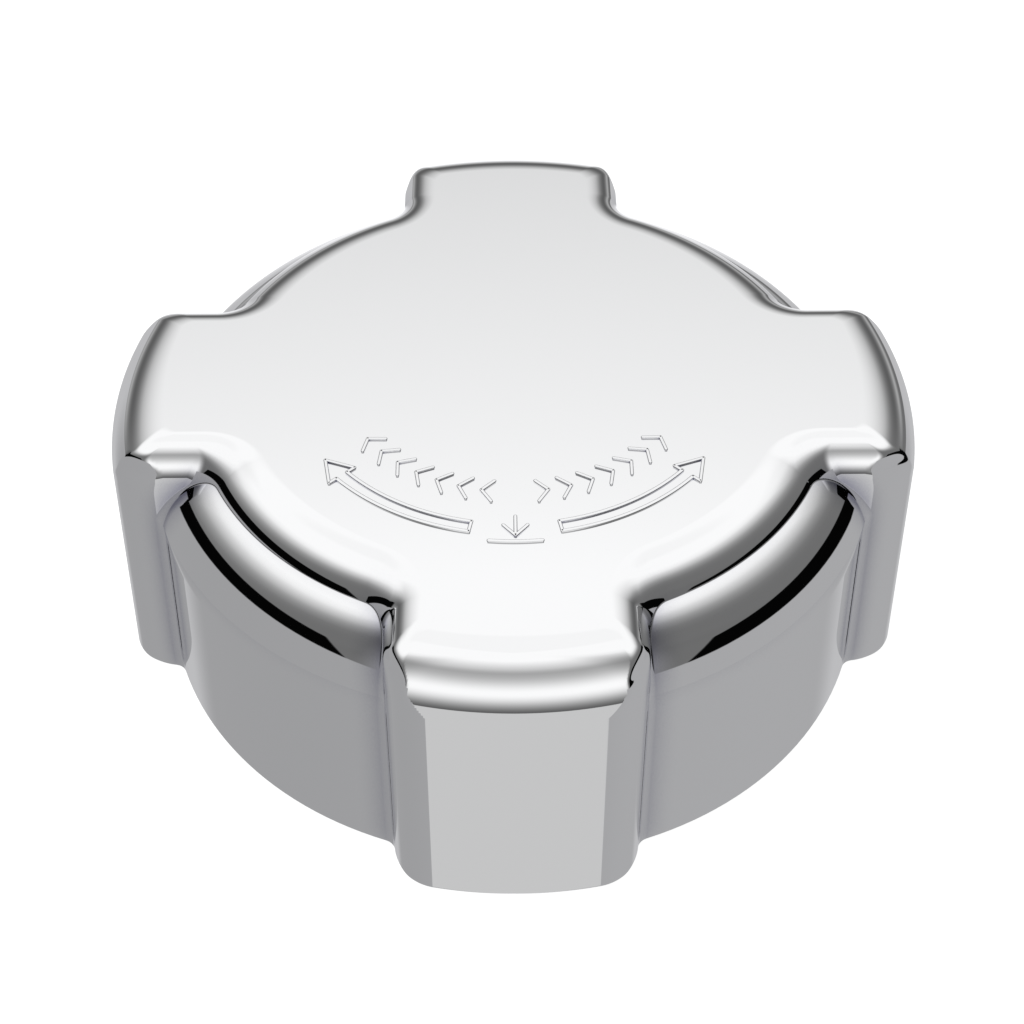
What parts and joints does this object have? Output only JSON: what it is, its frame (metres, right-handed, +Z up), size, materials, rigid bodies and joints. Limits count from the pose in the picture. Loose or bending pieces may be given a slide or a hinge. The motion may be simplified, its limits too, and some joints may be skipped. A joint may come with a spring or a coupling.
{
  "type": "fuel filler cap",
  "caption": "Chromed push-and-turn fuel filler cap: a lobed hand cover over a sprung bayonet ring, a neck gasket and a vent valve.",
  "frame": {"origin": "centre of the cover's rim plane, on the axis of the stem", "axes": "+Z up out of the raised top; the four lobes point along +X, -X, +Y and -Y, and the marked side faces -Y"},
  "size_m": [0.1272, 0.1272, 0.0477],
  "materials": {
    "chrome_shell": "bright chrome plate, mirror polished",
    "black_nylon": "moulded black glass-filled nylon",
    "zinc_plate": "bright zinc plate on pressed steel",
    "spring_steel": "drawn spring wire",
    "brass": "machined brass",
    "acetal": "natural white acetal",
    "rubber": "black nitrile rubber"
  },
  "bodies": {
    "seal_carrier": {"seal_disc": "zinc_plate", "neck_gasket": "rubber", "gasket_retainer": "zinc_plate", "valve_housing": "brass", "housing_nut": "brass", "housing_o_ring": "rubber", "wear_washer": "acetal", "retaining_ring": "spring_steel", "main_spring": "spring_steel", "vent_screen": "brass", "valve_plug": "brass", "pressure_spring": "spring_steel"},
    "slip_ring": {"thrust_washer": "acetal"},
    "knob": {"outer_cover": "chrome_shell", "inner_body": "black_nylon", "bayonet_ring": "zinc_plate", "cover_screw_1": "zinc_plate", "cover_screw_2": "zinc_plate", "cover_screw_3": "zinc_plate", "cover_screw_4": "zinc_plate"},
    "pressure_valve": {"pressure_poppet": "acetal", "poppet_seal": "rubber", "vacuum_spring": "spring_steel"},
    "vacuum_valve": {"vacuum_disc": "brass", "vacuum_seal": "rubber", "vacuum_keeper": "spring_steel"}
  },
  "joints": [
    {"name": "push", "type": "slide", "parent": "seal_carrier", "child": "slip_ring", "axis": [0, 0, 1], "range_m": [-0.0015, 0.0025], "deforming": ["main_spring"]},
    {"name": "turn", "type": "hinge", "parent": "slip_ring", "child": "knob", "pos_m": [0, 0, 0.031], "axis": [0, 0, 1], "range_deg": [0, 60]},
    {"name": "vent_out", "type": "slide", "parent": "seal_carrier", "child": "pressure_valve", "axis": [0, 0, 1], "range_m": [0, 0.002], "deforming": ["pressure_spring"]},
    {"name": "vent_in", "type": "slide", "parent": "pressure_valve", "child": "vacuum_valve", "axis": [0, 0, 1], "range_m": [-0.0015, 0], "deforming": ["vacuum_spring"]}
  ]
}
